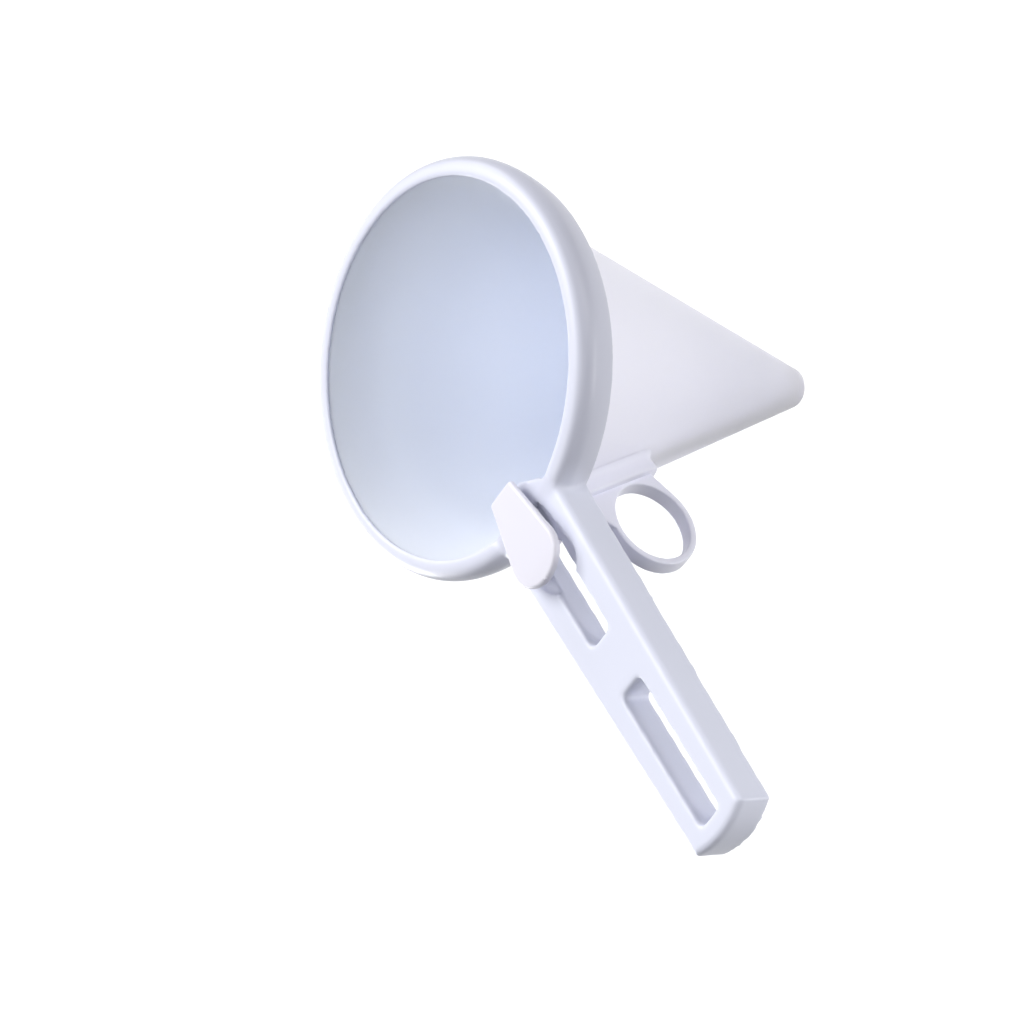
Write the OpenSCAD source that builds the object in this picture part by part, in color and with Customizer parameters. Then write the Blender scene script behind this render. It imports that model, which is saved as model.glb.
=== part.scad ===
// Hand-held batter dispenser: a cone hopper in a broad rim with a hollow handle, a finger ring,
// and a thumb button that draws a flexible strip with a stopper up the hopper's inner wall.
// The origin is the centre of the outlet's lower end. +Z is up the hopper's axis and +X is
// towards the handle. Handle sizes are measured along the handle from the hopper's axis.

/* [Rim] */
// Outer diameter of the rim at its widest
rim_d = 110; // [104:0.5:130]
// Diameter of the hopper's mouth
mouth_d = 98.6; // [92:0.2:100]
// Height of the rim from its top to the lower edge of its skirt
rim_h = 13.2; // [10:0.2:18]
// Drop from the rim's top to its widest line
rim_bulge_drop = 5; // [3:0.5:7]
// How far the skirt tapers in below its widest line
skirt_taper = 2.9; // [2:0.1:3.5]
// Thickness of the skirt
skirt_wall = 2; // [1.6:0.1:2.6]
// Height of the small lip that closes over the hopper's top edge
rim_lip = 1.5; // [1:0.1:2]
// Radius of the sharp edge round the mouth
mouth_round = 0.6; // [0.3:0.1:1]
// Distance from the mouth to the rim's highest line
crest_in = 0.85; // [0.6:0.05:1.5]
// Depth of the band that holds the hopper, from the rim's top
seat_depth = 5.6; // [4.5:0.1:7]
// Slope of the band's underside, as a drop
seat_drop = 1.6; // [1:0.1:2]

/* [Hopper] */
// Height from the outlet to the rim's top
hopper_h = 120.4; // [105:0.2:140]
// Outer diameter that the wall runs to at the outlet
tip_d = 9.9; // [9.4:0.1:12]
// Thickness of the hopper's wall, measured level
cone_wall = 1.8; // [1.5:0.1:2.1]
// Height over which the wall flares out to the mouth
flare_h = 22; // [16:1:30]
// How far the wall flares out at the mouth
flare_out = 2.5; // [1:0.1:3.5]
// Diameter of the outlet
outlet_d = 6.4; // [4:0.2:6.6]
// Length of the outlet's straight bore
outlet_l = 3; // [2:0.2:4]
// Height of the stopper's conical seat above the bore
seat_cone_h = 3.2; // [2:0.2:4]
// Radius of the rounded edge round the outlet
tip_round = 1.3; // [0.6:0.1:1.5]

/* [Handle] */
// Length over all, from the rim's far side to the handle's end
overall_l = 211; // [200:1:230]
// Width of the handle beside the rim
handle_w_root = 27; // [25:0.2:30]
// Width of the handle at its end
handle_w_end = 22.4; // [20:0.2:26]
// Depth of the handle
handle_t = 11; // [10:0.2:14]
// How far the handle's end bows out
handle_bow = 2.4; // [1:0.2:5]
// Downward slope of the handle, in degrees
handle_slope = 4.3; // [2:0.1:6]
// Drop of the handle's top face below the rim's top, where it passes the rim's crest
handle_drop = 0.9; // [0.6:0.1:1.4]
// Thickness of the handle's sides
handle_wall = 2; // [1.6:0.1:2.6]
// Thickness of the handle's top plate
plate_t = 2.2; // [2:0.1:2.8]
// Radius of the fillets between the handle and the rim
root_fillet_r = 6; // [3:0.5:9]
// How far the tongue reaches in over the mouth
tongue_reach = 6.7; // [4.5:0.1:7]
// Width of the tongue's tip
tongue_tip_w = 6.4; // [4:0.2:9]
// Width of the tongue at the mouth's edge
tongue_root_w = 23; // [14:0.5:26]

/* [Slots] */
// Width of both slots
slot_w = 8.4; // [7.4:0.2:9.6]
// Corner radius of both slots
slot_r = 1.8; // [1:0.1:2.4]
// Thickness of the walls round both slots
slot_wall = 1.8; // [1.4:0.1:2.2]
// Depth of the walls round both slots
wall_depth = 8.4; // [7:0.1:8.6]
// Free length left in the button's slot when the button is drawn right back
stop_gap = 2.6; // [0.3:0.1:4]
// Solid length of the handle between the two slots
slot_bridge = 16.2; // [10:0.2:24]
// Solid length of the handle beyond the hanging slot
slot_tail = 6; // [5:0.2:12]
// Width of the shallow track at its start over the mouth
track_w = 11.6; // [10:0.2:13]
// Width of the shallow track at its round end
track_end_w = 16.8; // [13:0.2:18]
// Corner radius of the shallow track's round end
track_end_r = 8; // [3:0.5:8]
// Depth of the shallow track
track_depth = 1.5; // [0.8:0.1:1.6]
// How far the shallow track reaches in over the mouth
track_reach = 1.1; // [0:0.1:1.5]
// Length of the shallow track
track_l = 26.3; // [22:0.1:30]

/* [Thumb button] */
// How far the button reaches in over the mouth when the outlet is shut
button_reach = 6.2; // [4:0.1:7]
// Width of the button's narrow end
button_end_w = 9.8; // [7:0.2:12]
// Width of the button where its round end starts
button_w = 19; // [16:0.2:19.6]
// Radius of the button's round end
button_end_r = 10; // [10:0.2:14]
// Length of the button
button_l = 29.2; // [26:0.2:31]
// Thickness of the button
button_t = 2.1; // [1.8:0.1:3]
// Height of the underside of the button's narrow end above the handle
button_lift = 2.3; // [2:0.1:4]
// Rise of the button towards its round end, in degrees
button_tilt = 4.2; // [0:0.2:6]
// Distance from the mouth's edge to the button's stem
stem_inset = 2.7; // [2.5:0.1:4]
// Length of the stem along the slot
stem_l = 5.2; // [4.8:0.1:7]
// Clearance on each side of the stem in its slot
stem_gap = 0.25; // [0.1:0.05:0.4]
// Width of the skid that runs on the handle's top
skid_w = 10.8; // [10.2:0.2:13]
// Thickness of the skid
skid_t = 1.1; // [0.8:0.1:1.6]
// How far the skid and the keeper run past each end of the stem
skid_end = 0.7; // [0.5:0.1:1]
// Running gap under the skid and over the keeper
slide_gap = 0.15; // [0.1:0.05:0.3]
// Width of the keeper under the slot
keeper_w = 13; // [12.6:0.2:15]
// Thickness of the keeper
keeper_t = 1.3; // [1:0.1:1.4]
// Clearance beside the keeper where it runs under the rim
keeper_side = 0.5; // [0.3:0.1:1]
// Size of the stem's square tail, which is pressed into the keeper
tail_size = 3.6; // [3:0.2:4.4]
// How far the button travels
travel = 32; // [20:1:33]

/* [Valve strip] */
// Width of the strip
strip_w = 6; // [4:0.2:6.4]
// Thickness of the strip
strip_t = 1.2; // [0.8:0.1:1.5]
// Gap between the strip and the hopper's wall
strip_gap = 1.1; // [1:0.1:2]
// Depth of the strip's top below the handle's top face
strip_depth = 4.2; // [4:0.1:5]
// Radius of the strip's bend at its middle line
bend_r = 6; // [4:0.5:8]
// Length of the strip that is held in the stem
strip_grip = 4.4; // [3:0.2:4.6]
// Stiff length of the strip beyond each end of its bend
strip_out = 2; // [1:0.1:2.2]
// Gap between the strip's stiff lengths and its bend
strip_split = 0.2; // [0.1:0.1:0.5]
// Clearance round the strip where it passes through the rim and the hopper
window_gap = 1.4; // [0.8:0.1:2]
// Gap between the stopper and its seat
stopper_gap = 0.3; // [0.2:0.05:0.5]
// Height of the stopper above its seat
stopper_h = 2.8; // [2:0.2:5]
// How much smaller the stopper's radius is than its seat's
stopper_side = 0.1; // [0.1:0.05:0.3]

/* [Finger ring] */
// Level distance from the hopper's wall to the middle of the finger hole
ring_out = 18.5; // [17.5:0.1:22]
// Drop from the rim's top to the middle of the finger hole
ring_drop = 41.3; // [38:0.1:46]
// Length of the finger hole
hole_l = 27.4; // [22:0.2:28]
// Height of the finger hole
hole_w = 22; // [18:0.2:24]
// Tilt of the finger hole's long axis, in degrees
hole_tilt = 36.5; // [30:0.5:42]
// Thickness of the ring's band
band_t = 2; // [1.8:0.1:3]
// Width of the ring's band
band_w = 4.2; // [3.6:0.2:6]
// Width of the boss on the hopper
boss_w = 8.8; // [8:0.2:12]
// Height of the boss above the hopper's wall
boss_t = 4.6; // [4:0.1:4.8]
// Drop from the rim's top to the boss's upper end
boss_drop = 15.4; // [14:0.1:20]
// Height of the boss
boss_h = 36; // [30:0.5:40]
// Depth of the groove in the boss
groove_depth = 2.4; // [1.5:0.1:3]
// Width of the groove in the boss
groove_w = 3.2; // [2.4:0.1:3.4]
// Clearance of the web's root in the groove
groove_gap = 0.05; // [0.02:0.01:0.2]
// Drop from the rim's top to the web's upper end
web_drop = 18.4; // [16:0.1:24]
// Height of the web's lower end above the boss's lower end
web_inset = 2.1; // [0.2:0.1:3]

/* [Quality] */
// Smallest number of flat steps along one curved outline
steps = 10; // [6:1:16]

/* [Hidden] */
$fn = 96;

frame_white = [0.93, 0.94, 0.98];
hopper_white = [0.88, 0.87, 0.92];
button_white = [0.95, 0.93, 0.97];
strip_white = [0.90, 0.91, 0.94];

// A cut runs past the face that it opens by this much
over = 1;
rim_r = rim_d / 2;
mouth_r = mouth_d / 2;
tip_r = tip_d / 2;
outlet_r = outlet_d / 2;
// Clearance between the hopper and its seat in the rim
seat_gap = 0.05;
// Where one solid's pieces join, they run into each other by this much
join = 0.5;
// The rim's crest is cut this far under the handle's top face, so that no sliver is left
crest_cut = 0.01;
// Height of the hopper's top edge, under the rim's lip
edge_z = hopper_h - rim_lip;
flare_z = edge_z - flare_h;
cone_slope = (mouth_r + cone_wall - flare_out - tip_r) / edge_z;
cone_angle = atan(cone_slope);
seat_top_z = outlet_l + seat_cone_h;

// Radius of the hopper's inner face at a height
function inner_r(z) = tip_r - cone_wall + cone_slope * z
    + flare_out * pow(max(0, z - flare_z) / flare_h, 2);
function outer_r(z) = inner_r(z) + cone_wall;
// The hopper's inner face, grown outwards, from the start of its flare to its top edge
function flare_points(grow) =
    [for (i = [0:steps]) let(z = flare_z + flare_h * i / steps) [inner_r(z) + grow, z]];
function reversed(points) = [for (i = [len(points) - 1:-1:0]) points[i]];

// Points along a bend from one point to another, pulled towards a third
function curve_points(start, pull, end) =
    [for (i = [0:steps]) let(t = i / steps)
        start * pow(1 - t, 2) + pull * 2 * t * (1 - t) + end * pow(t, 2)];

/* The handle's frame: u along its top face, w square to it */
handle_end = (overall_l - rim_r) / cos(handle_slope);
// Distance from the axis at which the handle's drop is measured
crest_x = mouth_r + crest_in;
handle_z = hopper_h - handle_drop + tan(handle_slope) * crest_x;
corner_u = handle_end - handle_bow;
bow_r = (pow(handle_w_end / 2, 2) + pow(handle_bow, 2)) / (2 * handle_bow);
// The handle's bar starts inside the rim's skirt
root_u = rim_r - skirt_wall - over;
root_half = handle_w_root / 2;
tongue_x = mouth_r - tongue_reach;
function handle_half(u) = root_half
    + (handle_w_end / 2 - root_half) * (u - root_u) / (corner_u - root_u);

stem_start = mouth_r + stem_inset;
stem_end = stem_start + stem_l;
slide_slot_end = stem_end + travel + stop_gap;
hang_slot_start = slide_slot_end + slot_bridge;
hang_slot_end = handle_end - slot_tail;
track_start = mouth_r - track_reach;
button_start = mouth_r - button_reach;
stem_w = slot_w - 2 * stem_gap;
slot_half = slot_w / 2;
// Depths of the keeper's upper and lower faces, just under the slot's walls
keeper_top = wall_depth + slide_gap;
keeper_low = keeper_top + keeper_t;

ring_z = hopper_h - ring_drop;
ring_x = tip_r + cone_slope * ring_z + ring_out;
boss_high = hopper_h - boss_drop;
boss_low = boss_high - boss_h;
web_high = hopper_h - web_drop;

/* The strip's middle line, in the plane through the hopper's axis and the handle */
wall_dir = [sin(cone_angle), cos(cone_angle)];
handle_dir = [cos(handle_slope), -sin(handle_slope)];
strip_inset = cone_wall * cos(cone_angle) + strip_gap + strip_t / 2;
strip_mid_w = -strip_depth - strip_t / 2;
wall_start = [tip_r, 0] - strip_inset * [wall_dir.y, -wall_dir.x];
handle_start = [strip_mid_w * sin(handle_slope), handle_z + strip_mid_w * cos(handle_slope)];
function cross2(a, b) = a.x * b.y - a.y * b.x;
corner_s = cross2(handle_start - wall_start, handle_dir) / cross2(wall_dir, handle_dir);
strip_corner = wall_start + corner_s * wall_dir;
strip_turn = acos(wall_dir * handle_dir);
bend_reach = bend_r * tan(strip_turn / 2);
bend_start = strip_corner - bend_reach * wall_dir;
bend_centre = bend_start + bend_r * [wall_dir.y, -wall_dir.x];
// Where the stiff lower stretch starts and ends, measured up the wall
strip_low_s = (seat_top_z + stopper_h / 2) / cos(cone_angle);
strip_high_s = corner_s - bend_reach - travel - strip_out;
window_half = strip_w / 2 + window_gap;
window_z = bend_start.y - strip_t;

module in_handle() {
    translate([0, 0, handle_z]) rotate([0, handle_slope, 0]) children();
}

// Places a shape drawn in the plane of the axis and the handle, centred across it
module across(width) {
    rotate([90, 0, 0]) translate([0, 0, -width / 2]) linear_extrude(width) children();
}

// A box with round corners in plan, from one end to the other along the handle
module rounded_bar(start, end, half, corner, low, high) {
    translate([0, 0, low]) linear_extrude(high - low) {
        translate([start + corner, -half]) square([end - start - 2 * corner, 2 * half]);
        translate([start, corner - half]) square([end - start, 2 * (half - corner)]);
        for (u = [start + corner, end - corner], v = [-1, 1])
            translate([u, v * (half - corner)]) circle(corner, $fn = 32);
    }
}

// The handle's tapered bar with its bowed end, drawn in by an inset
module handle_bar(start, inset, low, high) {
    bow = bow_r - inset;
    half = handle_half(corner_u) - inset;
    spread = asin(half / bow);
    bowed = [for (i = [0:steps]) let(a = spread - 2 * spread * i / steps)
        [handle_end - bow_r + bow * cos(a), bow * sin(a)]];
    translate([0, 0, low]) linear_extrude(high - low)
        polygon(concat([[start, -handle_half(start) + inset], [start, handle_half(start) - inset]], bowed));
}

// The broad rim, hollow under its round top, with a tapered seat for the hopper
module collar() {
    crest = [crest_x, hopper_h];
    widest = [rim_r, hopper_h - rim_bulge_drop];
    skirt = [rim_r - skirt_taper, hopper_h - rim_h];
    skirt_pull = [rim_r, (widest.y + skirt.y) / 2];
    seat_low = hopper_h - seat_depth;
    rotate_extrude() polygon(concat(
        [[mouth_r, edge_z]],
        curve_points([mouth_r, hopper_h - mouth_round], [mouth_r, hopper_h], crest),
        curve_points(crest, [rim_r, hopper_h], widest),
        curve_points(widest, skirt_pull, skirt),
        [[skirt.x - skirt_wall, skirt.y], [widest.x - 1.3 * skirt_wall, seat_low - seat_drop],
         [outer_r(seat_low) + skirt_wall / 2, seat_low - seat_drop], [inner_r(flare_z), seat_low],
         [inner_r(flare_z), edge_z]]));
}

// Everything inside the hopper's outer face, with the clearance of its seat
module hopper_space() {
    rotate_extrude() polygon(concat([[0, 0], [tip_r, 0]], flare_points(cone_wall + seat_gap),
        [[0, edge_z]]));
}

// Fills the corner between the rim and one side of the handle with a round fillet
module root_fillet() {
    rim_side = rim_r - skirt_taper;
    centre_y = root_half + root_fillet_r;
    centre_x = sqrt(pow(rim_side + root_fillet_r, 2) - pow(centre_y, 2));
    touch = [centre_x, centre_y] * rim_side / (rim_side + root_fillet_r);
    inner_x = touch.x - handle_wall;
    inner_y = root_half - handle_wall;
    depth = handle_t - join;
    translate([0, 0, -depth]) difference() {
        linear_extrude(depth) polygon([[inner_x, touch.y], touch, [centre_x, handle_half(centre_x)],
            [centre_x, inner_y], [inner_x, inner_y]]);
        translate([centre_x, centre_y, -over]) cylinder(r = root_fillet_r, h = depth + 2 * over);
    }
}

module handle_shell() {
    difference() {
        union() {
            handle_bar(root_u, 0, -handle_t, 0);
            root_fillet();
            mirror([0, 1, 0]) root_fillet();
        }
        difference() {
            handle_bar(rim_r + handle_wall, handle_wall, -handle_t - over, -plate_t);
            rounded_bar(root_u, slide_slot_end + slot_wall, slot_half + slot_wall, slot_r + slot_wall,
                -wall_depth, 0);
            rounded_bar(hang_slot_start - slot_wall, hang_slot_end + slot_wall, slot_half + slot_wall,
                slot_r + slot_wall, -wall_depth, 0);
        }
    }
}

// The flat tongue that carries the track's end over the mouth
module tongue() {
    corner = [sqrt(pow(mouth_r, 2) - pow(tongue_root_w / 2, 2)), tongue_root_w / 2];
    translate([0, 0, -plate_t]) linear_extrude(plate_t) polygon([
        [tongue_x, -tongue_tip_w / 2], [tongue_x, tongue_tip_w / 2], corner,
        [root_u + join, root_half], [root_u + join, -root_half], [corner.x, -corner.y]]);
}

// The shallow track under the button, which widens towards its round end
module track() {
    end = track_start + track_l - track_end_r;
    translate([0, 0, -track_depth]) linear_extrude(track_depth + over) hull() {
        translate([track_start, -track_w / 2]) square([slot_r, track_w]);
        for (v = [-1, 1]) translate([end, v * (track_end_w / 2 - track_end_r)]) circle(track_end_r);
    }
}

module handle_frame() {
    color(frame_white) difference() {
        union() {
            difference() {
                collar();
                in_handle() translate([tongue_x, -root_half, -crest_cut]) cube([rim_r, handle_w_root, rim_h]);
            }
            in_handle() handle_shell();
            in_handle() tongue();
        }
        hopper_space();
        in_handle() {
            track();
            rounded_bar(stem_start - skid_end, slide_slot_end, slot_half, slot_r, -handle_t - over, over);
            rounded_bar(hang_slot_start, hang_slot_end, slot_half, slot_r, -handle_t - over, over);
            // The strip's way in under the tongue, which runs into the button's slot
            translate([tongue_x - over, -window_half, -rim_h])
                cube([stem_start + handle_wall - tongue_x + over, 2 * window_half, rim_h - plate_t]);
            // Room for the keeper to run under the rim
            translate([stem_start - 2 * skid_end, -keeper_w / 2 - keeper_side, -2 * handle_t])
                cube([rim_r - mouth_r + handle_wall, keeper_w + 2 * keeper_side, 2 * handle_t - wall_depth]);
        }
    }
}

// The boss that carries the finger ring, in the frame of the hopper's wall
module boss(half, low, high, base, top) {
    length = (high - low) / cos(cone_angle);
    translate([tip_r, 0, 0]) rotate([0, cone_angle, 0])
        translate([base, -half, low / cos(cone_angle)]) cube([top - base, 2 * half, length]);
}

module hopper_cone() {
    color(hopper_white) difference() {
        union() {
            rotate_extrude() polygon(concat(
                [[outlet_r, 0]],
                curve_points([tip_r - tip_round, 0], [tip_r, 0], [outer_r(tip_round), tip_round]),
                flare_points(cone_wall), reversed(flare_points(0)),
                [[inner_r(seat_top_z), seat_top_z], [outlet_r, outlet_l]]));
            difference() {
                boss(boss_w / 2, boss_low, boss_high, -cone_wall, boss_t);
                rotate_extrude() polygon(concat([[0, 0], [tip_r - cone_wall / 2, 0]],
                    flare_points(cone_wall / 2), [[0, edge_z]]));
            }
        }
        boss(groove_w / 2, boss_low - over, boss_high + over, boss_t - groove_depth, boss_t + over);
        // The window that the strip passes through
        translate([bend_start.x, -window_half, window_z]) cube([rim_r, 2 * window_half, hopper_h]);
    }
}

// A point on the outline of the finger hole, or of the band round it
function hole_point(turn, grow) =
    let(along = (hole_l / 2 + grow) * cos(turn), up = (hole_w / 2 + grow) * sin(turn))
    [ring_x + along * cos(hole_tilt) - up * sin(hole_tilt),
     ring_z + along * sin(hole_tilt) + up * cos(hole_tilt)];
function hole_points(grow) = [for (i = [0:5:355]) hole_point(i, grow)];

// A point at a height on the boss's outer face, or off it by a distance
function boss_face(z, off) = [tip_r + cone_slope * z + (boss_t + off) / cos(cone_angle), z];

module finger_ring() {
    web_low = boss_low + web_inset;
    foot = -groove_depth + groove_gap;
    side = hole_w / 2;
    // The web's lower edge runs straight off the band, a little past the hole's near end
    web_turn = 200;
    color(hopper_white) difference() {
        union() {
            difference() {
                across(band_w) {
                    polygon(hole_points(band_t));
                    polygon([boss_face(web_low, groove_gap), boss_face(web_high, groove_gap),
                        [ring_x + side / 3, ring_z + side + band_t], [ring_x, ring_z],
                        hole_point(web_turn, band_t)]);
                }
                across(2 * band_w) polygon([[0, 0], boss_face(0, groove_gap), boss_face(hopper_h, groove_gap),
                    [0, hopper_h]]);
            }
            across(groove_w - 2 * groove_gap) polygon([boss_face(web_low, foot), boss_face(web_high, foot),
                boss_face(web_high, join), boss_face(web_low, join)]);
        }
        across(band_w + 2 * over) polygon(hole_points(0));
    }
}

// The button's cap: straight sides that widen to a round end, and a rise towards that end
module button_cap() {
    half_end = button_end_w / 2;
    round_u = button_l - button_end_r;
    spread = asin(button_w / 2 / button_end_r);
    round_end = [for (i = [0:steps]) let(a = spread - 2 * spread * i / steps)
        [round_u + button_end_r * cos(a), button_end_r * sin(a)]];
    translate([button_start, 0, button_lift]) rotate([0, -button_tilt, 0]) linear_extrude(button_t)
        polygon(concat([[0, -half_end], [0, half_end]], round_end));
}

module thumb_button() {
    color(button_white) in_handle() difference() {
        union() {
            button_cap();
            rounded_bar(stem_start, stem_end, stem_w / 2, slot_r - stem_gap, -keeper_top,
                button_lift + button_t);
            rounded_bar(stem_start - skid_end, stem_end + skid_end, skid_w / 2, slot_r, slide_gap,
                slide_gap + skid_t);
            translate([(stem_start + stem_end - tail_size) / 2, -tail_size / 2, -keeper_low])
                cube([tail_size, tail_size, keeper_low]);
        }
        translate([stem_start - over, -strip_w / 2, -strip_depth - strip_t])
            cube([strip_grip + over, strip_w, strip_t]);
    }
}

module slide_keeper() {
    color(button_white) in_handle() difference() {
        rounded_bar(stem_start - skid_end, stem_end + skid_end, keeper_w / 2, slot_r, -keeper_low,
            -keeper_top);
        translate([(stem_start + stem_end - tail_size) / 2, -tail_size / 2, -keeper_low - over])
            cube([tail_size, tail_size, keeper_t + 2 * over]);
    }
}

module strip_upper() {
    color(strip_white) in_handle() translate([stem_start - strip_out, -strip_w / 2, -strip_depth - strip_t])
        cube([strip_grip + strip_out, strip_w, strip_t]);
}

module strip_bend() {
    turned = [for (i = [0:steps]) let(a = cone_angle + strip_turn * i / steps) [-cos(a), sin(a)]];
    outside = [for (p = turned) bend_centre + (bend_r + strip_t / 2) * p];
    inside = reversed([for (p = turned) bend_centre + (bend_r - strip_t / 2) * p]);
    low = wall_start + (strip_high_s + strip_split) * wall_dir;
    high_u = stem_start - strip_out - strip_split;
    high = handle_start + high_u * handle_dir;
    wall_side = strip_t / 2 * [wall_dir.y, -wall_dir.x];
    handle_side = strip_t / 2 * [-handle_dir.y, handle_dir.x];
    color(strip_white) across(strip_w) polygon(concat([low - wall_side], outside,
        [high + handle_side, high - handle_side], inside, [low + wall_side]));
}

module strip_lower() {
    color(strip_white) translate([tip_r, 0, 0]) rotate([0, cone_angle, 0])
        translate([-strip_inset - strip_t / 2, -strip_w / 2, strip_low_s])
            cube([strip_t, strip_w, strip_high_s - strip_low_s]);
}

module stopper() {
    low_z = outlet_l + stopper_gap;
    top_r = inner_r(seat_top_z) - stopper_side;
    color(button_white) difference() {
        rotate_extrude() polygon([[0, low_z], [outlet_r - stopper_side, low_z],
            [top_r, seat_top_z + stopper_gap], [top_r, seat_top_z + stopper_h], [0, seat_top_z + stopper_h]]);
        strip_lower();
    }
}

handle_frame();
hopper_cone();
finger_ring();
thumb_button();
slide_keeper();
strip_upper();
strip_bend();
strip_lower();
stopper();
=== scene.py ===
import math

import bmesh
import bpy
from mathutils import Matrix, Vector


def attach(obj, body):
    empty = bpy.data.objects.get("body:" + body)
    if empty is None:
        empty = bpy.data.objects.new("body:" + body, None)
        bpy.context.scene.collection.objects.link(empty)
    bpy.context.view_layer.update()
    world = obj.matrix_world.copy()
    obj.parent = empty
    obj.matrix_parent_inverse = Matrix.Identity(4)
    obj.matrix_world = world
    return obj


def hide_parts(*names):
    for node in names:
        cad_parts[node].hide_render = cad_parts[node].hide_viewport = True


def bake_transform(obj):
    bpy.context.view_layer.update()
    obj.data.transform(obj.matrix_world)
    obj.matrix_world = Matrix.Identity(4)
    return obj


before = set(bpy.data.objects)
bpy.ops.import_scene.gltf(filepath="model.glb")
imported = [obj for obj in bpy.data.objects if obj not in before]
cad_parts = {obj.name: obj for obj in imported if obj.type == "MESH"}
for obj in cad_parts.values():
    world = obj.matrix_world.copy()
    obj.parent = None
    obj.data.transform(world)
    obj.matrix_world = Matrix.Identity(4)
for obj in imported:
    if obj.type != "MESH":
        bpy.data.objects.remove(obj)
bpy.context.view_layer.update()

# ---- Camera -----------------------------------------------------------------
# A long lens looks down on the handle and into the mouth, with the handle pointing down
# and the hopper's tip to the right.
camera = bpy.data.objects.new("camera", bpy.data.cameras.new("camera"))
bpy.context.scene.collection.objects.link(camera)
bpy.context.scene.camera = camera
camera.data.sensor_width = 36
camera.data.lens = 259.3
camera.data.clip_end = 20
lens_at = Vector((1.0372, 1.0622, 1.3091))
to_right = Vector((0.3992, 0.4923, -0.7735))
to_top = Vector((-0.7502, 0.6604, 0.0332))
to_lens = Vector((0.5271, 0.5670, 0.6329))
camera.matrix_world = (Matrix.Translation(lens_at)
                       @ Matrix((to_right, to_top, to_lens)).transposed().to_4x4())
bpy.context.scene.view_settings.view_transform = "Standard"

# ---- Rim and handle ---------------------------------------------------------
# One moulding in satin white polypropylene: a broad rim, hollow under its round crest, and a
# flat handle that is open below. Its edges are eased, and the handle flows into the rim.
rim_top = 0.1204
lip_low = 0.1186
mouth_r = 0.0495
crest = (0.05020, rim_top)
widest = (0.0550, 0.1152)
skirt_r, skirt_low = 0.0521, 0.1072
seat_foot = (0.04046, 0.0969)
seat_edge = (0.05115, 0.1189)
handle_rise, handle_droop = 0.12327, math.radians(4.3)
handle_place = Matrix.Translation((0, 0, handle_rise)) @ Matrix.Rotation(handle_droop, 4, "Y")
bar_half, bar_low, top_t = 0.0135, -0.011, 0.0022
tongue_tip = (0.0426, 0.0032)
thumb_slot, hang_slot = (0.0513, 0.0918), (0.1080, 0.15044)
slot_half, slot_wall = 0.0042, 0.0018


def bent(start, pull, end, steps):
    """Points along a curve from start to end that is drawn towards pull."""
    start, pull, end = Vector(start), Vector(pull), Vector(end)
    return [start * (1 - t) ** 2 + pull * 2 * t * (1 - t) + end * t * t
            for t in (i / steps for i in range(steps + 1))]


def shown(name, bm):
    """A bmesh made an object of the scene."""
    mesh = bpy.data.meshes.new(name)
    bm.to_mesh(mesh)
    bm.free()
    piece = bpy.data.objects.new(name, mesh)
    bpy.context.scene.collection.objects.link(piece)
    return piece


def taken_back(piece):
    """The piece's mesh as a bmesh again, with the piece itself removed."""
    bm = bmesh.new()
    bm.from_mesh(piece.data)
    bpy.data.objects.remove(piece)
    return bm


def turned(profile, steps=192):
    """A closed profile of radius and height, spun round the hopper's axis."""
    bm = bmesh.new()
    points = [bm.verts.new((p[0], 0, p[1])) for p in profile]
    edges = [bm.edges.new(pair) for pair in zip(points, points[1:] + points[:1])]
    bmesh.ops.spin(bm, geom=points + edges, cent=(0, 0, 0), axis=(0, 0, 1), dvec=(0, 0, 0),
                   angle=2 * math.pi, steps=steps, use_merge=True, use_duplicate=False)
    bmesh.ops.remove_doubles(bm, verts=bm.verts, dist=1e-7)
    bmesh.ops.dissolve_degenerate(bm, edges=bm.edges, dist=1e-7)
    bmesh.ops.recalc_face_normals(bm, faces=bm.faces)
    return bm


def slab(outline, low, high):
    """A plan outline given a depth."""
    bm = bmesh.new()
    top = bm.faces.new([bm.verts.new((p[0], p[1], high)) for p in outline])
    pushed = bmesh.ops.extrude_face_region(bm, geom=[top])["geom"]
    bmesh.ops.translate(bm, verts=[v for v in pushed if isinstance(v, bmesh.types.BMVert)],
                        vec=(0, 0, low - high))
    bmesh.ops.recalc_face_normals(bm, faces=bm.faces)
    return bm


def eased(bm, edges, radius, segments):
    """Rounds the given edges."""
    bmesh.ops.bevel(bm, geom=edges, offset=radius, offset_type="OFFSET", segments=segments,
                    profile=0.5, affect="EDGES", material=-1)


def block(start, end, half, corner, low, high):
    """A bar along the handle with round corners in plan."""
    bm = bmesh.new()
    bmesh.ops.create_cube(bm, size=1)
    bmesh.ops.scale(bm, verts=bm.verts, vec=(end - start, 2 * half, high - low))
    bmesh.ops.translate(bm, verts=bm.verts, vec=((start + end) / 2, 0, (low + high) / 2))
    if corner:
        eased(bm, [e for e in bm.edges if abs(e.verts[0].co.z - e.verts[1].co.z) > 1e-6], corner, 6)
    return bm


def settled(piece):
    """Makes the modifiers' result the piece's own mesh."""
    graph = bpy.context.evaluated_depsgraph_get()
    mesh = bpy.data.meshes.new_from_object(piece.evaluated_get(graph))
    piece.modifiers.clear()
    piece.data = mesh


def shaped(piece, bm, operation):
    """Adds a solid to the piece or cuts it away."""
    tool = shown("tool", bm)
    step = piece.modifiers.new("step", "BOOLEAN")
    step.object = tool
    step.operation = operation
    step.solver = "EXACT"
    settled(piece)
    bpy.data.objects.remove(tool)


def skinned(piece, voxel):
    """One closed skin over the piece, made on a fine grid."""
    skin = piece.modifiers.new("skin", "REMESH")
    skin.mode = "VOXEL"
    skin.voxel_size = voxel
    settled(piece)


def smoothed(piece, name, passes, group=""):
    """Smooths the piece, or the part of it that a vertex group marks."""
    ease = piece.modifiers.new(name, "SMOOTH")
    ease.factor = 0.5
    ease.iterations = passes
    ease.vertex_group = group


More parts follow.
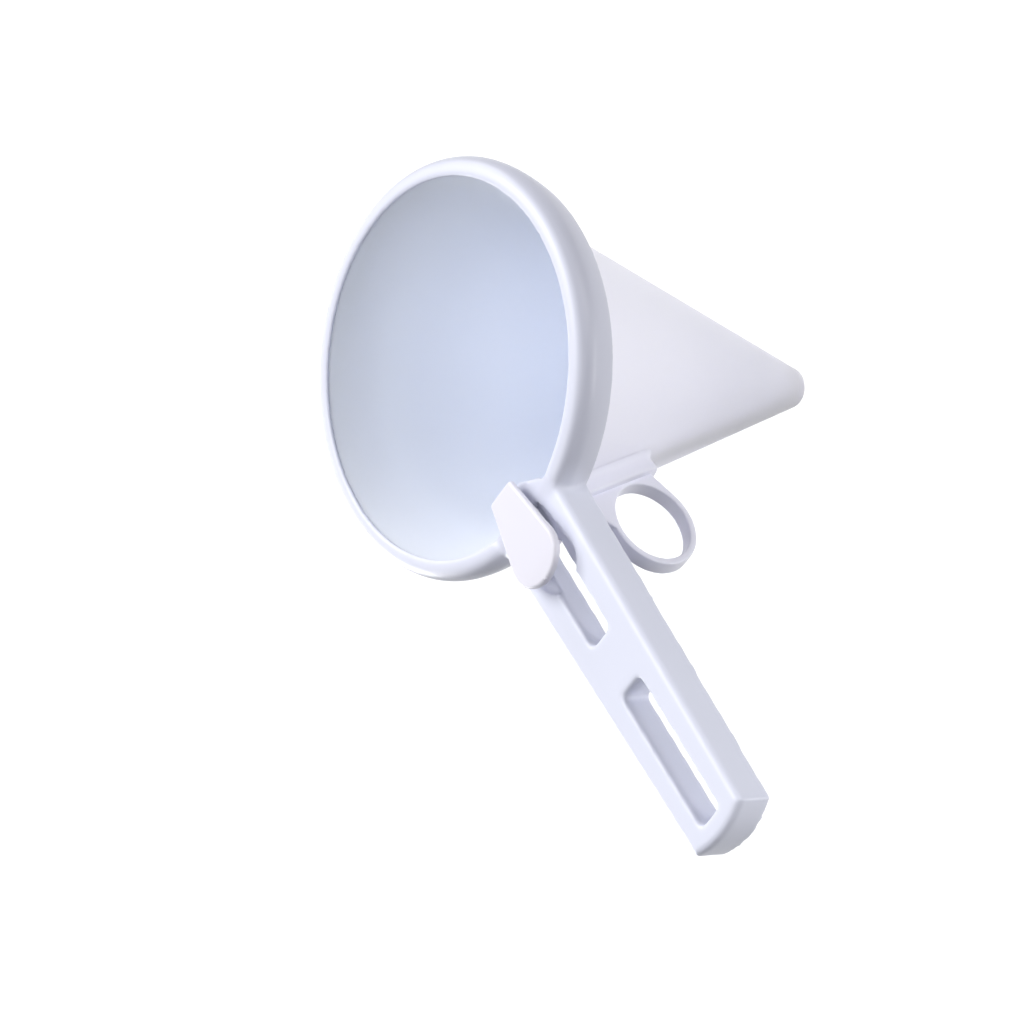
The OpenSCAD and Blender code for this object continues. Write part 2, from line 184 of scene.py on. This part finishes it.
def soft_shaded(piece, sharp_over=None):
    """Shades the piece smoothly, and keeps the edges over an angle in degrees sharp."""
    for face in piece.data.polygons:
        face.use_smooth = True
    if sharp_over:
        piece.data.set_sharp_from_angle(angle=math.radians(sharp_over))


def in_handle(bm):
    """Moves a solid from the handle's own plan to its place on the rim."""
    bm.transform(handle_place)
    return bm


def handle_outline(start, inset):
    """The tapered bar with its bowed end."""
    steps = 24
    root, corner, tip, bow = 0.052, 0.15404, 0.15644, 0.02733
    half_root, half_end = bar_half - inset, 0.0112 - inset

    def half(u):
        return half_root + (half_end - half_root) * (u - root) / (corner - root)
    turn = math.asin(half_end / (bow - inset))
    ends = [turn - 2 * turn * i / steps for i in range(steps + 1)]
    return ([(start, -half(start)), (start, half(start))]
            + [(tip - bow + (bow - inset) * math.cos(a), (bow - inset) * math.sin(a)) for a in ends])


def both_sides(half_plan):
    """A whole plan from the points on one side of the handle's middle."""
    start, start_half = half_plan[0]
    return [(start, -start_half)] + half_plan + [(u, -v) for u, v in reversed(half_plan[1:])]


def flared(start, start_half, wide, wide_half, end, corner):
    """A plan that widens along the handle and ends in two round corners."""
    turns = [i * math.pi / 24 for i in range(1, 13)]
    round_corner = [(end - corner + corner * math.sin(a), wide_half - corner + corner * math.cos(a))
                    for a in turns]
    return both_sides([(start, start_half), (wide, wide_half)] + round_corner)


# The rim's section, from the mouth over the crest to the skirt and back up inside
inside_skirt = [(0.0501, skirt_low), (0.0524, 0.1132), (0.0506, 0.1132), (0.0456, 0.1148),
                (0.0456, lip_low)]
rim = shown("rim_and_handle", turned(
    [(mouth_r, lip_low)]
    + bent((mouth_r, 0.1199), (mouth_r, rim_top), crest, 6)
    + bent(crest, (0.0549, rim_top), widest, 24)[1:]
    + bent(widest, (0.0545, 0.1118), (skirt_r, skirt_low), 12)[1:]
    + inside_skirt))

# The crest is cut down to the handle's top, and the bar is set in the gap
shaped(rim, in_handle(block(tongue_tip[0], 0.075, bar_half, 0, 0.0001, 0.02)), "DIFFERENCE")
bar_start, top_ease = 0.0475, 0.0020
bar = slab(handle_outline(bar_start, 0), bar_low, 0)
eased(bar, [e for e in bar.edges if min(v.co.z for v in e.verts) > -1e-5
            and max(v.co.x for v in e.verts) > 0.05], top_ease, 6)
shaped(rim, in_handle(bar), "UNION")

# A round inside corner on each side, where the bar leaves the rim
fillet_r, fillet_x, buried = 0.006, 0.05491, (0.0485, 0.0115)
for side in (-1, 1):
    centre = Vector((fillet_x, side * (bar_half + fillet_r)))
    touch = centre.normalized() * skirt_r
    first = math.atan2(touch.y - centre.y, touch.x - centre.x)
    last = -side * math.pi / 2
    arc = [first + (last - first) * i / 12 for i in range(13)]
    fillet = slab([(centre.x + fillet_r * math.cos(a), centre.y + fillet_r * math.sin(a)) for a in arc]
                  + [(centre.x, side * buried[1]), (buried[0], side * buried[1])], -0.0105, -0.0018)
    shaped(rim, in_handle(fillet), "UNION")

tongue = slab(both_sides([tongue_tip, (0.0479, 0.0115), (0.0525, bar_half)]), -top_t, 0)
shaped(rim, in_handle(tongue), "UNION")

# The hollow under the handle, less the walls that stand round its two slots
hollow = shown("hollow", slab(handle_outline(0.057, 0.002), -0.012, -top_t))
for start, end, low in ((0.050, thumb_slot[1] + slot_wall, -0.0084),
                        (hang_slot[0] - slot_wall, hang_slot[1] + slot_wall, -0.0092)):
    shaped(hollow, block(start, end, slot_half + slot_wall, 0.0036, low, 0.001), "DIFFERENCE")
shaped(rim, in_handle(taken_back(hollow)), "DIFFERENCE")

# The seat that the hopper drops into. It cuts into the tongue from below, and the tongue's
# middle is filled up again.
shaped(rim, turned([(0, 0), (0.005, 0), seat_foot]
                   + bent(seat_foot, (0.0448, 0.1079), seat_edge, 10)[1:]
                   + [(0, seat_edge[1])]), "DIFFERENCE")
under_tongue = slab(both_sides([tongue_tip, (0.0466, 0.0098), (0.0478, 0.0098)]), -top_t, -0.0002)
shaped(rim, in_handle(under_tongue), "UNION")

# Both slots, the button's track, the strip's way through and the keeper's room
right_below, right_above = -0.0122, 0.002
track = slab(flared(0.0508, 0.0058, 0.0665, 0.0082, 0.0745, 0.0079), -0.0014, right_above)
for cut in (block(*thumb_slot, slot_half, 0.0018, right_below, right_above),
            block(*hang_slot, slot_half, 0.0014, right_below, right_above),
            track,
            block(0.0416, 0.0540, 0.0044, 0, -0.0132, -top_t),
            block(0.0506, 0.0583, 0.0070, 0, -0.0220, -0.0084)):
    shaped(rim, in_handle(cut), "DIFFERENCE")

# The moulding's edges are eased a little everywhere, more where the bar leaves the rim on both
# sides of the button, and most on the lips of both slots
skinned(rim, 0.00055)
root_x, root_reach, root_low = 0.0515, 0.006, 0.112
beside_button, beside_reach, past_bar_reach = 0.0072, 0.003, 0.005
root = rim.vertex_groups.new(name="root")
for v in rim.data.vertices:
    along = max(0.0, 1 - abs(v.co.x - root_x) / root_reach)
    across = max(0.0, 1 - max(0.0, abs(v.co.y) - bar_half) / past_bar_reach)
    clear = min(1.0, max(0.0, (abs(v.co.y) - beside_button) / beside_reach))
    if v.co.z > root_low and along * across * clear > 0:
        root.add([v.index], min(1.0, 2 * along * across * clear), "REPLACE")

to_handle = handle_place.inverted()
clear_of_rim, past_track, between_slots, lip_reach = 0.07, 0.0742, 0.1, 0.0016
lips = rim.vertex_groups.new(name="lips")
for v in rim.data.vertices:
    if v.co.x > clear_of_rim:
        u, side, depth = to_handle @ v.co
        start, end = (past_track, thumb_slot[1]) if u < between_slots else hang_slot
        ahead, beside = max(start - u, u - end), abs(side) - slot_half
        edge = math.hypot(ahead, beside) if ahead > 0 and beside > 0 else abs(max(ahead, beside))
        if depth > -lip_reach and edge < lip_reach:
            lips.add([v.index], 1 - edge / lip_reach, "REPLACE")
smoothed(rim, "flow", 8, "root")
smoothed(rim, "lip", 14, "lips")
smoothed(rim, "ease", 4)
settled(rim)
rim.vertex_groups.clear()
soft_shaded(rim)

# The moulded plastic's skin: a faint drift of tone, a satin that varies, and a fine grain
grain = bpy.data.node_groups.new("moulded skin", "ShaderNodeTree")
for name, kind, side in (("Colour", "Color", "INPUT"), ("Drift", "Float", "INPUT"),
                         ("Satin", "Float", "INPUT"), ("Colour", "Color", "OUTPUT"),
                         ("Roughness", "Float", "OUTPUT"), ("Height", "Float", "OUTPUT")):
    grain.interface.new_socket(name, in_out=side, socket_type="NodeSocket" + kind)


def node(tree, kind, **values):
    """A new node, with its settings and its sockets' values by name."""
    made = tree.nodes.new(kind)
    for key, value in values.items():
        if hasattr(made, key):
            setattr(made, key, value)
        else:
            made.inputs[key].default_value = value
    return made


# A colour Mix has its share, its two colours and its result at these sockets
mix_share, mix_first, mix_second, mix_result = 0, 6, 7, 2
skin_in = grain.nodes.new("NodeGroupInput")
skin_out = grain.nodes.new("NodeGroupOutput")
where = grain.nodes.new("ShaderNodeTexCoord")
wide = node(grain, "ShaderNodeTexNoise", Scale=22.0, Detail=3.0, Roughness=0.5)
patch = node(grain, "ShaderNodeTexNoise", Scale=160.0, Detail=4.0, Roughness=0.6)
fine = node(grain, "ShaderNodeTexNoise", Scale=2600.0, Detail=2.0, Roughness=0.5)
for texture in (wide, patch, fine):
    grain.links.new(where.outputs["Object"], texture.inputs["Vector"])
darker = node(grain, "ShaderNodeMix", data_type="RGBA", blend_type="MULTIPLY")
darker.inputs[mix_second].default_value = (0.93, 0.94, 0.965, 1)
drift = node(grain, "ShaderNodeMath", operation="MULTIPLY")
grain.links.new(wide.outputs["Fac"], drift.inputs[0])
grain.links.new(skin_in.outputs["Drift"], drift.inputs[1])
grain.links.new(drift.outputs[0], darker.inputs[mix_share])
grain.links.new(skin_in.outputs["Colour"], darker.inputs[mix_first])
grain.links.new(darker.outputs[mix_result], skin_out.inputs["Colour"])
spread = node(grain, "ShaderNodeMapRange")
spread.inputs["To Min"].default_value = -0.05
spread.inputs["To Max"].default_value = 0.05
grain.links.new(patch.outputs["Fac"], spread.inputs["Value"])
satin = node(grain, "ShaderNodeMath", operation="ADD")
grain.links.new(skin_in.outputs["Satin"], satin.inputs[0])
grain.links.new(spread.outputs[0], satin.inputs[1])
grain.links.new(satin.outputs[0], skin_out.inputs["Roughness"])
fine_share = 0.25
height = node(grain, "ShaderNodeMath", operation="MULTIPLY_ADD")
height.inputs[1].default_value = fine_share
grain.links.new(fine.outputs["Fac"], height.inputs[0])
grain.links.new(patch.outputs["Fac"], height.inputs[2])
grain.links.new(height.outputs[0], skin_out.inputs["Height"])


def plastic(name, colour, satin, drift, soft=0.0):
    """A moulded plastic with the skin above; soft is the share of light that sinks into it."""
    material = bpy.data.materials.new(name)
    material.use_nodes = True
    tree = material.node_tree
    shader = tree.nodes["Principled BSDF"]
    skin = tree.nodes.new("ShaderNodeGroup")
    skin.node_tree = grain
    skin.inputs["Colour"].default_value = (*colour, 1)
    skin.inputs["Drift"].default_value = drift
    skin.inputs["Satin"].default_value = satin
    bump = node(tree, "ShaderNodeBump", Strength=0.12, Distance=0.0002)
    tree.links.new(skin.outputs["Colour"], shader.inputs["Base Color"])
    tree.links.new(skin.outputs["Roughness"], shader.inputs["Roughness"])
    tree.links.new(skin.outputs["Height"], bump.inputs["Height"])
    tree.links.new(bump.outputs["Normal"], shader.inputs["Normal"])
    shader.inputs["IOR"].default_value = 1.49
    shader.inputs["Subsurface Weight"].default_value = soft
    shader.inputs["Subsurface Radius"].default_value = (1, 1, 1)
    shader.inputs["Subsurface Scale"].default_value = 0.004
    return material


# The rim's outer wall is painted darker than its crest and the bar, as painted shade. The
# painted shade goes over up the wall to the crest, and outwards to the bar.
painted_wall_shade, crest_tone, bar_tone = (0.52, 0.53, 0.62), (0.710, 0.726, 0.840), (0.712, 0.730, 0.843)
frame_white_wall_shaded = plastic("frame white, wall shade painted", crest_tone, satin=0.42, drift=0.5)
tree = frame_white_wall_shaded.node_tree
frame_skin = next(n for n in tree.nodes if n.type == "GROUP")
place = tree.nodes.new("ShaderNodeTexCoord")
apart = tree.nodes.new("ShaderNodeSeparateXYZ")
tree.links.new(place.outputs["Object"], apart.inputs["Vector"])


def tone_change(axis, start, end, next_tone):
    """A mix that goes over to the next tone between two places on an axis."""
    share = node(tree, "ShaderNodeMapRange", interpolation_type="SMOOTHSTEP")
    share.inputs["From Min"].default_value = start
    share.inputs["From Max"].default_value = end
    tree.links.new(apart.outputs[axis], share.inputs["Value"])
    mixed = node(tree, "ShaderNodeMix", data_type="RGBA")
    mixed.inputs[mix_second].default_value = (*next_tone, 1)
    tree.links.new(share.outputs[0], mixed.inputs[mix_share])
    return mixed


# Painted shade: the rim's wall takes the darker tone below the crest and away from the bar
wall_shade_up_to_crest = tone_change("Z", lip_low, rim_top, crest_tone)
wall_shade_out_to_bar = tone_change("X", 0.0500, widest[0], bar_tone)
wall_shade_up_to_crest.inputs[mix_first].default_value = (*painted_wall_shade, 1)
tree.links.new(wall_shade_up_to_crest.outputs[mix_result], wall_shade_out_to_bar.inputs[mix_first])
tree.links.new(wall_shade_out_to_bar.outputs[mix_result], frame_skin.inputs["Colour"])
rim.data.materials.append(frame_white_wall_shaded)
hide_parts("handle_frame")
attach(rim, "funnel")

# ---- Hopper -----------------------------------------------------------------
# A thin cone in the same plastic, dropped into the rim from above until its edge snaps under
# the lip. Its tip is eased round the outlet, and a boss stands on it for the finger ring.
hopper_t = 0.0018
outlet_r = 0.0032
cone_foot_r, cone_slope = 0.00315, 0.36711
cone_angle = math.atan(cone_slope)
outer_foot_r = cone_foot_r + hopper_t
flare_start, flare_rise, flare_out = 0.0969, 0.022, 0.0025
edge_rise = 0.0228
valve_seat_low, valve_seat_high = 0.003, 0.0062


def inner_r(z):
    """The inside radius, a straight cone that flares out below the edge."""
    return cone_foot_r + cone_slope * z + flare_out * (max(0, z - flare_start) / flare_rise) ** 2


rises = [flare_start + edge_rise * i / 14 for i in range(15)]
tip_high = 0.0013
hopper = shown("hopper", turned(
    [(outlet_r, 0)]
    + bent((0.00365, 0), (outer_foot_r, 0), (inner_r(tip_high) + hopper_t, tip_high), 8)
    + [(inner_r(z) + hopper_t, z) for z in (0.02, 0.04, 0.06, 0.08)]
    + [(inner_r(z) + hopper_t, z) for z in rises]
    + [(inner_r(z), z) for z in reversed(rises)]
    + [(inner_r(z), z) for z in (0.08, 0.06, 0.04, 0.02, valve_seat_high)]
    + [(outlet_r, valve_seat_low)], steps=256))

# The strip's way through the wall, and the edge cut lower where the frame's tongue lies on it
for size, middle in (((0.02, 0.0088, 0.02), (0.0525, 0, 0.1196)),
                     ((0.03, 0.036, 0.0022), (0.0560, 0, 0.11985))):
    opening = bmesh.new()
    bmesh.ops.create_cube(opening, size=1)
    bmesh.ops.scale(opening, verts=opening.verts, vec=size)
    bmesh.ops.translate(opening, verts=opening.verts, vec=middle)
    shaped(hopper, opening, "DIFFERENCE")
soft_shaded(hopper, 35)

# Light sinks into the thin wall. The inner face is a darker, bluer copy of the plastic: painted shade.
hopper_white = plastic("hopper white", (0.80, 0.79, 0.89), satin=0.45, drift=0.5, soft=0.9)
inside_shade_white = plastic("hopper inside, painted shade", (0.735, 0.775, 0.88), satin=0.5, drift=0.4, soft=0.5)
hopper.data.materials.append(hopper_white)
hopper.data.materials.append(inside_shade_white)
# The faces turned inwards get the painted shade
for face in hopper.data.polygons:
    if face.normal.x * face.center.x + face.normal.y * face.center.y < 0:
        face.material_index = 1
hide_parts("hopper_cone")
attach(hopper, "funnel")

# The boss: a flat-topped bar with an eased edge and a hollow fillet down to the cone
wall_place = Matrix.Translation((outer_foot_r, 0, 0)) @ Matrix.Rotation(cone_angle, 4, "Y")
boss_half, boss_t, boss_start, boss_end = 0.0044, 0.0046, 0.0735, 0.1118


def boss_point(along, across, share):
    """A point over the cone: share 0 lies on the cone, 1 on the boss's flat top."""
    z = along * math.cos(cone_angle)
    r = inner_r(z) + hopper_t
    dip = (math.sqrt(max(0, r * r - across * across)) - r) * math.cos(cone_angle)
    return wall_place @ Vector((dip * (1 - share) + boss_t * share, across, along))


# The top's outline, each point with its direction outwards: a round end and a square one
boss_plan = [(boss_start + boss_half + boss_half * math.cos(a), boss_half * math.sin(a),
              math.cos(a), math.sin(a))
             for a in (math.pi + math.pi * (i / 16 - 0.5) for i in range(17))]
boss_plan += [(boss_end, -boss_half, 0, -1), (boss_end, boss_half, 0, 1)]

# How far out and how high each ring of points lies: the eased edge, the side, the fillet
eased_edge = [(-0.0009 + 0.0009 * math.sin(a), 1 - 0.2 * (1 - math.cos(a)))
              for a in (i * math.pi / 12 for i in range(7))]
hollow_fillet = [(0.0021 - 0.0020 * math.cos(a), 0.42 - 0.43 * math.sin(a))
                 for a in (i * math.pi / 16 for i in range(9))]
rings = eased_edge + [(0.0001, 0.5)] + hollow_fillet
boss_bm = bmesh.new()
top_out, top_share = rings[0]
loop = [boss_bm.verts.new(boss_point(s + top_out * out_s, y + top_out * out_y, top_share))
        for s, y, out_s, out_y in boss_plan]
boss_bm.faces.new(loop)
for out, share in rings[1:]:
    edge = [boss_bm.edges.get(pair) for pair in zip(loop, loop[1:] + loop[:1])]
    grown = bmesh.ops.extrude_edge_only(boss_bm, edges=edge)["geom"]
    fresh = [g for g in grown if isinstance(g, bmesh.types.BMVert)]
    near = {v: min(fresh, key=lambda f: (f.co - v.co).length_squared) for v in loop}
    loop = [near[v] for v in loop]
    for v, (s, y, out_s, out_y) in zip(loop, boss_plan):
        v.co = boss_point(s + out * out_s, y + out * out_y, share)
bmesh.ops.recalc_face_normals(boss_bm, faces=boss_bm.faces)
boss = shown("ring_boss", boss_bm)
soft_shaded(boss, 50)
ring_white = plastic("ring white", (0.81, 0.81, 0.913), satin=0.45, drift=0.5)
boss.data.materials.append(ring_white)
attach(boss, "funnel")

# ---- Finger ring ------------------------------------------------------------
# A separate moulding pushed down a groove in the boss: an oval band on a web, with every
# edge and inside corner eased.
ring_centre = Vector((0.05249, 0, 0.0791))
ring_tilt = math.radians(36.5)
band_in, band_out, band_half = 0.011, 0.013, 0.0021
hole_r, oval_pull = 0.0111, 0.0027
upright = Matrix.Rotation(math.pi / 2, 3, "X")


def oval(bm):
    """Pulls a round shape out to an oval, leans it and puts it at the ring's centre."""
    for v in bm.verts:
        v.co.x += oval_pull * v.co.x / math.hypot(v.co.x, v.co.z)
    bmesh.ops.rotate(bm, verts=bm.verts, cent=(0, 0, 0), matrix=Matrix.Rotation(-ring_tilt, 3, "Y"))
    bmesh.ops.translate(bm, verts=bm.verts, vec=ring_centre)


band = bmesh.new()
section = [band.verts.new(p) for p in ((band_in, band_half, 0), (band_out, band_half, 0),
                                       (band_out, -band_half, 0), (band_in, -band_half, 0))]
sides = [band.edges.new(pair) for pair in zip(section, section[1:] + section[:1])]
bmesh.ops.spin(band, geom=section + sides, cent=(0, 0, 0), axis=(0, 1, 0), dvec=(0, 0, 0),
               angle=2 * math.pi, steps=144, use_merge=True, use_duplicate=False)
bmesh.ops.recalc_face_normals(band, faces=band.faces)
oval(band)
ring = shown("oval_ring", band)

hole = bmesh.new()
bmesh.ops.create_cone(hole, cap_ends=True, segments=144, radius1=hole_r, radius2=hole_r, depth=0.02)
bmesh.ops.rotate(hole, verts=hole.verts, cent=(0, 0, 0), matrix=upright)
oval(hole)


def under_boss_face(z):
    """A point of the web's root, a little below the boss's flat top."""
    sunk = 0.0003
    return Vector((outer_foot_r + cone_slope * z + (boss_t - sunk) / math.cos(cone_angle), z))


web_plan = [under_boss_face(0.0711), under_boss_face(0.102), Vector((0.0561, 0.0921)),
            Vector((0.0525, 0.0791)), Vector((0.04328, 0.06675))]
web = slab(web_plan, -band_half, band_half)
bmesh.ops.rotate(web, verts=web.verts, cent=(0, 0, 0), matrix=upright)
web_piece = shown("web", web)
shaped(web_piece, hole, "DIFFERENCE")
shaped(ring, taken_back(web_piece), "UNION")
skinned(ring, 0.00025)
smoothed(ring, "ease", 16)
settled(ring)
soft_shaded(ring)
ring.data.materials.append(ring_white)
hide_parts("finger_ring")
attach(ring, "funnel")

# ---- Thumb button -----------------------------------------------------------
# A smooth cap on a stem that runs in the slot, with a skid over the track and a square tail
# below that the keeper is pressed on to. One moulding, a touch pinker than the rest.
cap_start, cap_half, cap_wide, cap_wide_half, cap_end = 0.0431, 0.0049, 0.0654, 0.0095, 0.0723
cap_r, cap_t, cap_low, cap_tilt = 0.0100, 0.0021, 0.0023, math.radians(4.2)
cap_place = Matrix.Translation((cap_start, 0, cap_low)) @ Matrix.Rotation(-cap_tilt, 4, "Y")

# One side of the cap in plan: a straight line, the rounded wide corner, and the round end
round_at = cap_end - cap_start - cap_r
round_turn, round_step = 0.95, 0.05
side_start, wide_corner = Vector((0, cap_half)), Vector((cap_wide - cap_start, cap_wide_half))
round_start = Vector((round_at + cap_r * math.cos(round_turn), cap_r * math.sin(round_turn)))
cap_side = [side_start] + bent(side_start.lerp(wide_corner, 0.86), wide_corner, round_start, 10)
cap_side = [tuple(p) for p in cap_side]
cap_side += [(round_at + cap_r * math.cos(a), cap_r * math.sin(a))
             for a in (round_turn - round_step * i for i in range(1, 20))]
cap = slab([(u, -v) for u, v in reversed(cap_side)] + cap_side, 0, cap_t)


def plan_edge(edge):
    return len(edge.link_faces) == 2 and abs(edge.calc_face_angle(0)) > 0.5


def start_corners(bm):
    """The two upright edges at the narrow end."""
    return [e for e in bm.edges if abs(e.verts[0].co.z - e.verts[1].co.z) > 1e-6
            and abs(e.verts[0].co.x) < 0.001 and abs(e.calc_face_angle(0)) > 0.1]


eased(cap, start_corners(cap), 0.0010, 4)
eased(cap, [e for e in cap.edges if min(v.co.z for v in e.verts) > cap_t - 1e-5 and plan_edge(e)],
      0.0009, 5)
eased(cap, [e for e in cap.edges if max(v.co.z for v in e.verts) < 1e-5 and plan_edge(e)],
      0.00035, 2)

# A skirt under the cap, a touch wider on its +Y side
skirt_top = 0.0007
skirt = slab([(0.0002, -0.0056), (0.0172, -0.0086), (0.0190, -0.0078), (0.0190, 0.0078),
              (0.0172, 0.0088), (0.0002, 0.0058)], -0.0013, skirt_top)
eased(skirt, start_corners(skirt), 0.0010, 3)
eased(skirt, [e for e in skirt.edges if min(v.co.z for v in e.verts) > skirt_top - 1e-4
              and plan_edge(e)], 0.0010, 4)
cap.transform(cap_place)
skirt.transform(cap_place)

button = shown("thumb_button_cap", in_handle(cap))
stem = block(0.0520, 0.0572, 0.00395, 0.00155, -0.00855, 0.0044)
skid = block(0.0513, 0.0579, 0.0048, 0.0018, 0.00015, 0.00125)
tail = block(0.0528, 0.0564, 0.0018, 0, -0.00985, -0.0080)
for solid in (skirt, stem, skid, tail):
    shaped(button, in_handle(solid), "UNION")
soft_shaded(button, 30)
button_white = plastic("button white", (0.75, 0.737, 0.82), satin=0.40, drift=0.4)
button.data.materials.append(button_white)
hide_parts("thumb_button")
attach(button, "slider")

# ---- Keeper and stopper -----------------------------------------------------
# Small plain mouldings: the plate pressed on the stem's tail, and the plug on the outlet's
# seat. They keep their solids' shapes.
for name in ("slide_keeper", "stopper"):
    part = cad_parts[name]
    part.data.materials.clear()
    part.data.materials.append(button_white)

# ---- Valve strip ------------------------------------------------------------
# One flexible strip from the stem, over a bend, down the hopper's wall to the stopper. It is
# made in two lengths that meet in the bend.
strip_half, strip_t, bend_r = 0.003, 0.0012, 0.006
along_wall, in_stem = 0.109, 0.0100
strip_white = plastic("strip white", (0.77, 0.78, 0.87), satin=0.5, drift=0.4)
wall_dir = Vector((math.sin(cone_angle), 0, math.cos(cone_angle)))
handle_dir = Vector((math.cos(handle_droop), 0, -math.sin(handle_droop)))


def strip(name, line):
    """A length of strip, an edge drawn along a line and given its thickness."""
    bm = bmesh.new()
    first = [bm.verts.new(line[0] + Vector((0, y, 0))) for y in (-strip_half, strip_half)]
    edge = bm.edges.new(first)
    for a, b in zip(line, line[1:]):
        grown = bmesh.ops.extrude_edge_only(bm, edges=[edge])["geom"]
        fresh = [g for g in grown if isinstance(g, bmesh.types.BMVert)]
        bmesh.ops.translate(bm, verts=fresh, vec=b - a)
        edge = next(g for g in grown if isinstance(g, bmesh.types.BMEdge)
                    and all(v in fresh for v in g.verts))
    bmesh.ops.recalc_face_normals(bm, faces=bm.faces)
    piece = shown(name, bm)
    thick = piece.modifiers.new("thickness", "SOLIDIFY")
    thick.thickness = strip_t
    thick.offset = 0
    settled(piece)
    piece.data.materials.append(strip_white)
    return piece


corner = Vector((0.04360, 0, 0.11504))
bend_turn = math.acos(wall_dir.dot(handle_dir))
bend_reach = bend_r * math.tan(bend_turn / 2)
bend_start = corner - bend_reach * wall_dir
bend_centre = bend_start + bend_r * Vector((wall_dir.z, 0, -wall_dir.x))


def bend_point(share):
    a = cone_angle + bend_turn * share
    return bend_centre + bend_r * Vector((-math.cos(a), 0, math.sin(a)))


foot = bend_start - along_wall * wall_dir
lower = strip("strip_to_stopper", [bend_start.lerp(foot, 1 - i / 60) for i in range(61)]
              + [bend_point(i / 20) for i in range(1, 11)])
upper = strip("strip_to_button", [bend_point(0.5 + i / 20) for i in range(11)]
              + [corner + (bend_reach + in_stem * i / 10) * handle_dir for i in range(1, 11)])
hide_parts("strip_lower", "strip_bend")
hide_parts("strip_upper")
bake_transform(lower)
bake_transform(upper)

# ---- Floor and light --------------------------------------------------------
# A white floor well below the dispenser in a white room. Nine wide soft lamps stand all round
# it, the strongest to the left, to the right and behind it at the left.
floor_bm = bmesh.new()
bmesh.ops.create_grid(floor_bm, x_segments=1, y_segments=1, size=0.6)
bmesh.ops.translate(floor_bm, verts=floor_bm.verts, vec=(-0.3, -0.3, -0.22))
floor = shown("floor", floor_bm)


def seen_white(tree, strength):
    """A strength for rays that the camera sends, also by way of gloss or clear plastic."""
    ray = tree.nodes.new("ShaderNodeLightPath")
    either = node(tree, "ShaderNodeMath", operation="MAXIMUM")
    tree.links.new(ray.outputs["Is Camera Ray"], either.inputs[0])
    tree.links.new(ray.outputs["Is Glossy Ray"], either.inputs[1])
    any_ray = node(tree, "ShaderNodeMath", operation="MAXIMUM")
    tree.links.new(either.outputs[0], any_ray.inputs[0])
    tree.links.new(ray.outputs["Is Transmission Ray"], any_ray.inputs[1])
    level = node(tree, "ShaderNodeMath", operation="MULTIPLY")
    level.inputs[1].default_value = strength
    tree.links.new(any_ray.outputs[0], level.inputs[0])
    return level.outputs[0]


white_floor = bpy.data.materials.new("white floor")
white_floor.use_nodes = True
tree = white_floor.node_tree
paint = tree.nodes["Principled BSDF"]
paint.inputs["Base Color"].default_value = (0.9, 0.9, 0.9, 1)
paint.inputs["Roughness"].default_value = 0.9
paint.inputs["Specular IOR Level"].default_value = 0.0
paint.inputs["Emission Color"].default_value = (1, 1, 1, 1)
tree.links.new(seen_white(tree, 0.15), paint.inputs["Emission Strength"])
floor.data.materials.append(white_floor)

room = bpy.data.worlds.new("room")
bpy.context.scene.world = room
room.use_nodes = True
tree = room.node_tree
tree.nodes["Background"].inputs["Color"].default_value = (1, 1, 1, 1)
tree.links.new(seen_white(tree, 1.0), tree.nodes["Background"].inputs["Strength"])

# Each lamp's side (to the right, up, towards the lens) and strength
lamp_width = math.radians(26)
lamps = ((-0.85, 0.49, 0.17, 1.84), (0.98, 0.00, 0.17, 1.55), (0.63, 0.53, 0.57, 0.94),
         (-0.77, 0.28, 0.57, 0.85), (-0.77, -0.28, 0.57, 0.90), (0.00, 0.00, 1.00, 0.62),
         (-0.48, 0.84, -0.26, 0.86), (0.74, -0.62, -0.26, 0.20), (-0.57, -0.42, -0.71, 1.80))
for right, up, near, strength in lamps:
    lamp = bpy.data.objects.new("lamp", bpy.data.lights.new("lamp", "SUN"))
    bpy.context.scene.collection.objects.link(lamp)
    lamp.data.energy = strength
    lamp.data.angle = lamp_width
    side = right * to_right + up * to_top + near * to_lens
    lamp.rotation_euler = side.to_track_quat("Z", "Y").to_euler()
